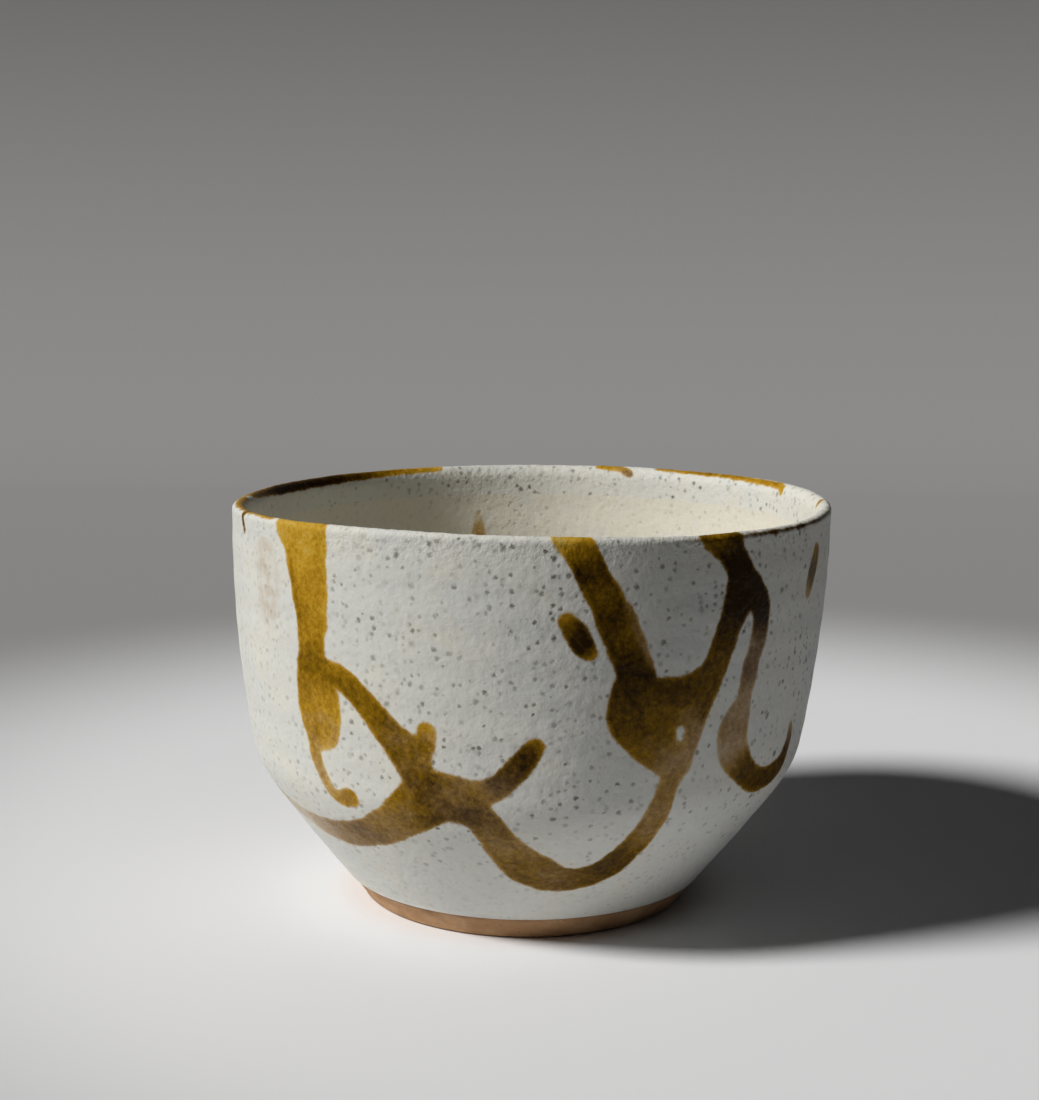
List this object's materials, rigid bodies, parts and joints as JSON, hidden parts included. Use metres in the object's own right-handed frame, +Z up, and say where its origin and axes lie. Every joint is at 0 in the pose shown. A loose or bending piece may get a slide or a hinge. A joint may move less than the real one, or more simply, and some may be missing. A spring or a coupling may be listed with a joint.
{
  "type": "tea bowl",
  "caption": "Handleless tea bowl in white speckled stoneware with amber glaze trails, upright wall, rounded shoulder and bare clay foot.",
  "frame": {"origin": "on the bowl's axis, at the surface that its foot stands on", "axes": "+Z up along the axis that the bowl was turned about; -Y is the side that the picture shows, with +X to its right"},
  "size_m": [0.11, 0.11, 0.0743],
  "materials": {
    "glazed_stoneware": "satin"
  },
  "bodies": {
    "root": {"tea_bowl": "glazed_stoneware"}
  },
  "joints": []
}
